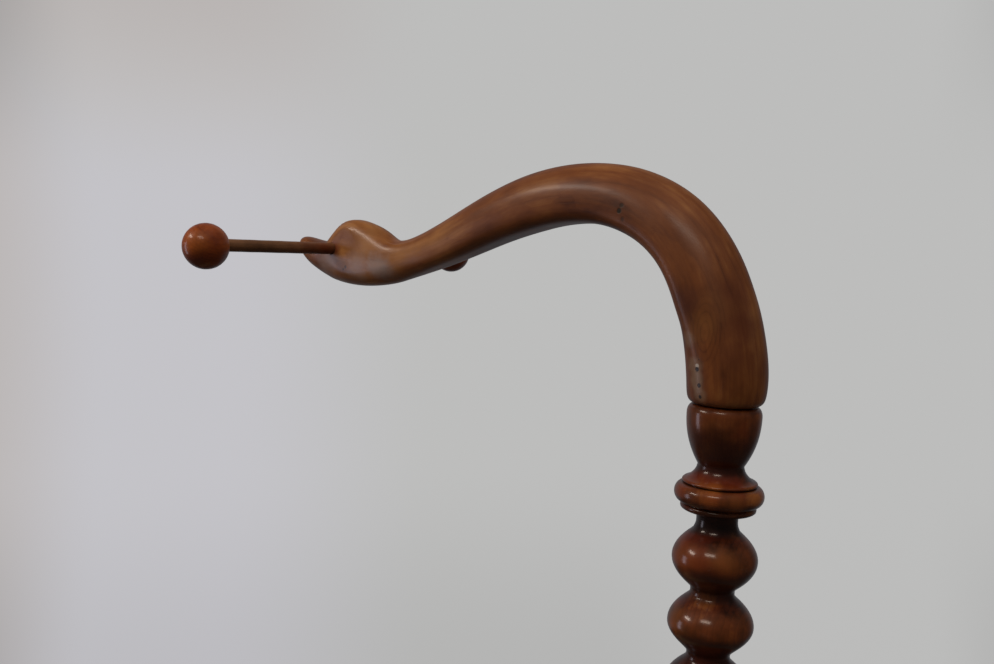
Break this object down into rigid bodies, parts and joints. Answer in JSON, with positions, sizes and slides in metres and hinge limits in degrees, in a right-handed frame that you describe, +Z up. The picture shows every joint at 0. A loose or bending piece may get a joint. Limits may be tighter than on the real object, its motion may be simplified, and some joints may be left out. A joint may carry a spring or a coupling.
{
  "type": "swinging cradle on stand",
  "caption": "Bobbin-turned crib that swings on two pivots between the posts of a splayed-leg stand, with a swan-neck arm on a tall column for a drape rod.",
  "frame": {"origin": "on the floor under the middle of the stand", "axes": "+Z up, +X towards the head post with the drape arm, +Y across the crib, to the left of someone who looks from the foot to the head"},
  "size_m": [1.1, 0.56, 1.5717],
  "materials": {
    "post_wood": "French-polished walnut, dark red-brown",
    "column_wood": "French-polished walnut, near black-red, glossy",
    "leg_wood": "polished walnut with straight grain along the leg",
    "turned_wood": "turned and polished walnut",
    "rail_wood": "polished walnut, straight grain",
    "board_wood": "polished walnut with figure",
    "spindle_wood": "turned and polished walnut",
    "plain_wood": "bare planed pine, aged",
    "peg_wood": "end grain of oak pegs",
    "arm_wood": "steam-bent and carved fruitwood, orange-brown, waxed",
    "rod_wood": "dark dowel, waxed",
    "ball_wood": "turned ball, waxed",
    "brass": "aged brass",
    "iron": "black iron, lightly rusted"
  },
  "bodies": {
    "stand": {"head_post": "post_wood", "foot_post": "post_wood", "foot_finial": "column_wood", "drape_column": "column_wood", "head_leg_left": "leg_wood", "head_leg_right": "leg_wood", "foot_leg_left": "leg_wood", "foot_leg_right": "leg_wood", "stretcher": "turned_wood", "leg_pegs": "peg_wood", "pivot_bush_head": "brass", "pivot_bush_foot": "brass"},
    "cradle": {"corner_post_head_left": "turned_wood", "corner_post_head_right": "turned_wood", "corner_post_foot_left": "turned_wood", "corner_post_foot_right": "turned_wood", "top_rail_left": "rail_wood", "top_rail_right": "rail_wood", "bottom_rail_left": "rail_wood", "bottom_rail_right": "rail_wood", "head_crest_rail": "board_wood", "foot_crest_rail": "board_wood", "head_bottom_rail": "board_wood", "foot_bottom_rail": "board_wood", "side_spindles_left": "spindle_wood", "side_spindles_right": "spindle_wood", "head_spindles": "spindle_wood", "foot_spindles": "spindle_wood", "slat_ledge_left": "plain_wood", "slat_ledge_right": "plain_wood", "mattress_slats": "plain_wood", "pivot_boss_head": "column_wood", "pivot_boss_foot": "column_wood", "pivot_washer_head": "brass", "pivot_washer_foot": "brass", "pivot_pin_head": "iron", "pivot_pin_foot": "iron", "pivot_knob_head": "column_wood", "pivot_knob_foot": "column_wood"},
    "arm": {"swan_neck_arm": "arm_wood"},
    "rod": {"drape_rod": "rod_wood", "rod_ball_left": "ball_wood", "rod_ball_right": "ball_wood"}
  },
  "joints": [
    {"name": "cradle_swing", "type": "hinge", "parent": "stand", "child": "cradle", "pos_m": [0, 0, 0.77], "axis": [1, 0, 0], "range_deg": [-25, 25]},
    {"name": "arm_swivel", "type": "hinge", "parent": "stand", "child": "arm", "pos_m": [0.495, 0, 1.4395], "axis": [0, 0, 1], "continuous": true},
    {"name": "rod_slide", "type": "slide", "parent": "arm", "child": "rod", "axis": [0, 1, 0], "range_m": [-0.089, 0.089]}
  ]
}
